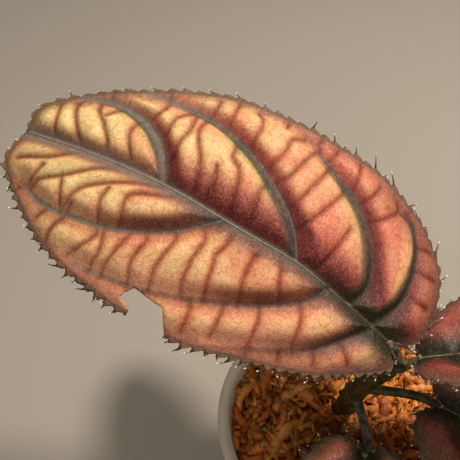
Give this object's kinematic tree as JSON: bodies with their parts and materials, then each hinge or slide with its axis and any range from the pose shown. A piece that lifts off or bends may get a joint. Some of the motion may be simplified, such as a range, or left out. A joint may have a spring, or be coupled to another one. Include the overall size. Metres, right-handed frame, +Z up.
{
  "type": "potted ardisia",
  "caption": "Small foliage plant with broad, puckered, toothed leaves on a short stem, rooted in long-fibred moss in a tapered frosted plastic pot.",
  "frame": {"origin": "centre of the pot's flat underside, which rests on the surface", "axes": "+Z up; the largest leaf reaches towards -X and +Y; the picture is taken looking along +Y and down"},
  "size_m": [0.1876, 0.1523, 0.1573],
  "materials": {
    "frosted_plastic": "satin",
    "sphagnum": "matte",
    "stem_bark": "satin",
    "leaf_copper": "satin"
  },
  "bodies": {
    "root": {"pot": "frosted_plastic", "moss": "sphagnum", "stem": "stem_bark", "leaf_main": "leaf_copper", "leaf_right": "leaf_copper", "leaf_front_right": "leaf_copper", "leaf_front": "leaf_copper", "leaf_back": "leaf_copper"}
  },
  "joints": []
}
